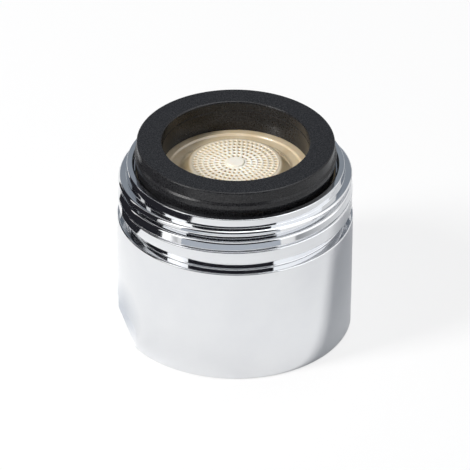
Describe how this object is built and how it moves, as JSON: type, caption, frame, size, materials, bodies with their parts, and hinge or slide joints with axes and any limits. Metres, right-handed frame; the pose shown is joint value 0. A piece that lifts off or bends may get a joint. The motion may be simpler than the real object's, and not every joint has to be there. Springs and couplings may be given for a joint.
{
  "type": "tap aerator",
  "caption": "Chrome tap aerator with a male fine thread and spanner flats, a black rubber washer, a raised ivory strainer, and a cartridge of regulator, jets, screens and honeycomb inside.",
  "frame": {"origin": "centre of the outlet end face, on which the aerator stands", "axes": "+Z along the axis from the outlet to the thread, X across the two spanner flats"},
  "size_m": [0.018, 0.018, 0.0158],
  "materials": {
    "chrome_plate": "bright chrome plate on brass",
    "washer_rubber": "satin black rubber",
    "ivory_plastic": "moulded ivory plastic, slightly translucent",
    "white_plastic": "moulded white plastic",
    "ring_rubber": "smooth black rubber",
    "screen_wire": "woven stainless wire"
  },
  "bodies": {
    "root": {"housing": "chrome_plate", "sealing_washer": "washer_rubber", "strainer": "ivory_plastic", "cartridge_sleeve": "white_plastic", "jet_plate": "white_plastic", "regulator_core": "ivory_plastic", "regulator_ring": "ring_rubber", "mixing_grid": "white_plastic", "upper_screen": "screen_wire", "screen_spacer": "white_plastic", "lower_screen": "screen_wire", "outlet_grid": "white_plastic"}
  },
  "joints": []
}
